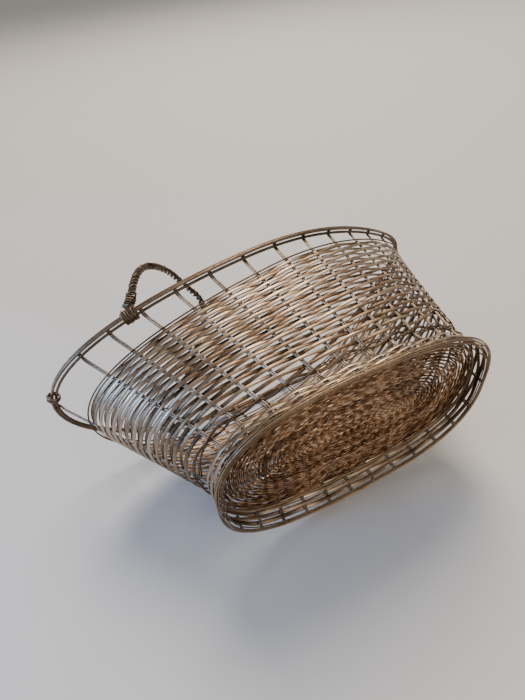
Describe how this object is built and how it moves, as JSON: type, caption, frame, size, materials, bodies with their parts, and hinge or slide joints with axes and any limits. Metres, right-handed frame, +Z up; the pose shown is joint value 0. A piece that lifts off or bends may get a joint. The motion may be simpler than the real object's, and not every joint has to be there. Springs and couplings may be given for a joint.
{
  "type": "wire bottle basket",
  "caption": "Boat-shaped bottle basket woven from flat metal wire on upright stakes, with a flared woven foot, an open rim and a crosswise twisted-wire handle.",
  "frame": {"origin": "on the floor under the middle of the basket's overall box, the foot standing on z = 0", "axes": "+X towards the high back end, +Y to the basket's left seen from the front lip, +Z up"},
  "size_m": [0.3036, 0.1464, 0.2026],
  "materials": {
    "stake_wire": "worn bright wire, lightly tarnished",
    "rim_wire": "tarnished drawn wire",
    "body_weave": "flat drawn strip, soft sheen, brown tarnish in the hollows",
    "waist_wire": "thin drawn wire, tarnished",
    "foot_weave": "broad flat strip, soft sheen, tarnished",
    "base_weave": "fine wire worn through to warm metal",
    "handle_wire": "darkened twisted wire, matt with worn crests"
  },
  "bodies": {
    "root": {"base_cross_stick_1": "base_weave", "base_cross_stick_2": "base_weave", "base_cross_stick_3": "base_weave", "base_cross_stick_4": "base_weave", "base_cross_stick_5": "base_weave", "base_edge_wire": "base_weave", "base_weave_lower": "base_weave", "base_weave_upper": "base_weave", "body_weave_inner_lower": "body_weave", "body_weave_inner_upper": "body_weave", "body_weave_outer_lower": "body_weave", "body_weave_outer_upper": "body_weave", "foot_border_bottom": "foot_weave", "foot_border_inner": "foot_weave", "foot_border_outer": "foot_weave", "foot_weave_inner": "foot_weave", "foot_weave_outer": "foot_weave", "front_rim_tie": "handle_wire", "handle_binding": "handle_wire", "handle_lashing_far": "handle_wire", "handle_lashing_near": "handle_wire", "handle_strand_a": "handle_wire", "handle_strand_b": "handle_wire", "handle_tail_wire": "handle_wire", "rim_inner_wire": "rim_wire", "rim_outer_wire": "rim_wire", "rim_top_wire": "rim_wire", "stake_01": "stake_wire", "stake_02": "stake_wire", "stake_03": "stake_wire", "stake_04": "stake_wire", "stake_05": "stake_wire", "stake_06": "stake_wire", "stake_07": "stake_wire", "stake_08": "stake_wire", "stake_09": "stake_wire", "stake_10": "stake_wire", "stake_11": "stake_wire", "stake_12": "stake_wire", "stake_13": "stake_wire", "stake_14": "stake_wire", "stake_15": "stake_wire", "stake_16": "stake_wire", "stake_17": "stake_wire", "stake_18": "stake_wire", "stake_19": "stake_wire", "stake_20": "stake_wire", "stake_21": "stake_wire", "stake_22": "stake_wire", "stake_23": "stake_wire", "stake_24": "stake_wire", "stake_25": "stake_wire", "stake_26": "stake_wire", "waist_twist_wire_a": "waist_wire", "waist_twist_wire_b": "waist_wire", "weave_edge_wire_inner": "body_weave", "weave_edge_wire_outer": "body_weave"}
  },
  "joints": []
}
